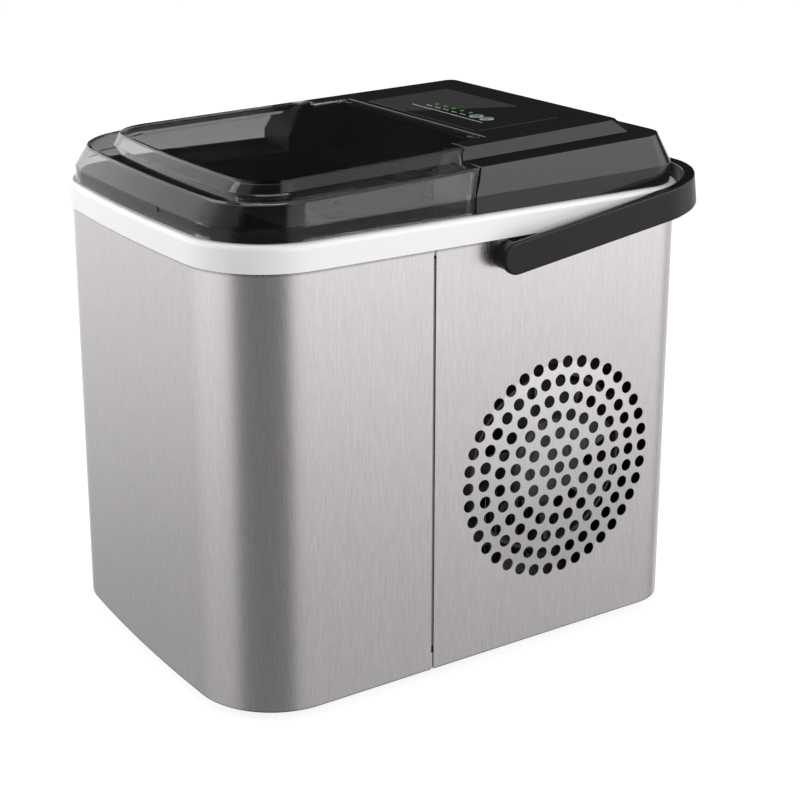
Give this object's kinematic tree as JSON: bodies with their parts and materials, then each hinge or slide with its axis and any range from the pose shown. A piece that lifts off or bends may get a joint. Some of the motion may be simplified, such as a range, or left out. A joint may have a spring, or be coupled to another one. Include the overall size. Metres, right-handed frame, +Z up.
{
  "type": "ice maker",
  "caption": "Countertop ice maker with a brushed steel casing, a smoked tilting lid, a sloping control cover, a round side air intake and a swinging carrying handle.",
  "frame": {"origin": "on the table, below the centre of the whole machine's bounding box", "axes": "+Z up, -Y to the front (lid side), +X to the side with the round air intake"},
  "size_m": [0.262, 0.3294, 0.3068],
  "materials": {
    "steel": "vertically brushed",
    "white": "gloss",
    "black": "gloss",
    "smoke": "clear smoked, gloss",
    "satin_black": "satin",
    "dark_grey": "matte",
    "rubber": "matte",
    "green_lens": "gloss",
    "button": "satin silver",
    "fan": "satin",
    "tub": "satin charcoal",
    "pale": "satin",
    "foam": "matte",
    "clear": "clear, gloss",
    "screw": "plated",
    "copper": "drawn copper tube",
    "nickel": "plated",
    "aluminium": "mill",
    "enamel": "gloss black paint",
    "board": "satin"
  },
  "bodies": {
    "housing": {"base_pan": "satin_black", "rubber_feet": "rubber", "front_shell": "steel", "rear_shell": "steel", "seam_strips": "dark_grey", "top_collar": "white", "rear_screws": "screw", "cover_screws": "screw", "cord_gland": "satin_black", "inner_deck": "satin_black", "control_cover": "black", "control_panel": "dark_grey", "indicator_lenses": "green_lens", "display_board": "board", "lid_hinge_pins": "screw", "handle_bosses": "satin_black", "inner_tub": "tub", "tub_insulation": "foam", "evaporator_tube": "nickel", "evaporator_fingers": "nickel", "evaporator_bracket": "tub", "tray_motor": "dark_grey", "ice_sensors": "dark_grey", "intake_filter": "dark_grey", "water_pump": "dark_grey", "pump_hose": "rubber", "drain_spout": "pale", "compressor": "enamel", "compressor_grommets": "rubber", "compressor_bolts": "screw", "terminal_cover": "satin_black", "condenser_fins": "aluminium", "condenser_tube": "copper", "fan_shroud": "satin_black", "fan_motor": "dark_grey", "filter_drier": "copper", "suction_pipe": "copper", "discharge_pipe": "copper", "liquid_line": "copper", "hot_gas_valve": "dark_grey", "board_bracket": "pale", "main_board": "board"},
    "lid": {"lid_shell": "smoke", "lid_grip_strip": "black"},
    "handle": {"carry_handle": "satin_black", "handle_pins": "screw"},
    "power_button": {"power_button": "button"},
    "select_button": {"select_button": "button"},
    "fan": {"fan_rotor": "fan"},
    "tray": {"water_tray": "tub"},
    "pusher": {"ice_pusher": "tub"},
    "basket": {"ice_basket": "clear"},
    "scoop": {"ice_scoop": "clear"},
    "drain_cap": {"drain_cap": "rubber"}
  },
  "joints": [
    {"name": "lid_hinge", "type": "hinge", "parent": "housing", "child": "lid", "pos_m": [0, 0.0229, 0.29992], "axis": [-1, 0, 0], "range_deg": [0, 75]},
    {"name": "handle_swing", "type": "hinge", "parent": "housing", "child": "handle", "pos_m": [0, 0.0102, 0.247], "axis": [1, 0, 0], "range_deg": [0, 80]},
    {"name": "power_press", "type": "slide", "parent": "housing", "child": "power_button", "axis": [0, 0.036, -0.9994], "range_m": [0, 0.0008], "stiffness_N_per_m": 800},
    {"name": "select_press", "type": "slide", "parent": "housing", "child": "select_button", "axis": [0, 0.036, -0.9994], "range_m": [0, 0.0008], "stiffness_N_per_m": 800},
    {"name": "fan_spin", "type": "hinge", "parent": "housing", "child": "fan", "pos_m": [0.1, 0.0514, 0.112], "axis": [1, 0, 0], "continuous": true},
    {"name": "tray_tilt", "type": "hinge", "parent": "housing", "child": "tray", "pos_m": [0, -0.014, 0.214], "axis": [1, 0, 0], "range_deg": [0, 60]},
    {"name": "pusher_tilt", "type": "hinge", "parent": "housing", "child": "pusher", "pos_m": [0, -0.064, 0.186], "axis": [-1, 0, 0], "range_deg": [0, 32]},
    {"name": "basket_lift", "type": "slide", "parent": "housing", "child": "basket", "axis": [0, 0, 1], "range_m": [0, 0.09]},
    {"name": "scoop_lift", "type": "slide", "parent": "basket", "child": "scoop", "axis": [0, 0, 1], "range_m": [0, 0.05]},
    {"name": "drain_cap_turn", "type": "hinge", "parent": "housing", "child": "drain_cap", "pos_m": [-0.05, -0.105, 0.004], "axis": [0, 0, -1], "range_deg": [0, 90]}
  ],
  "couplings": [
    {"joint": "pusher_tilt", "follows": "tray_tilt", "ratio": 0.53}
  ]
}
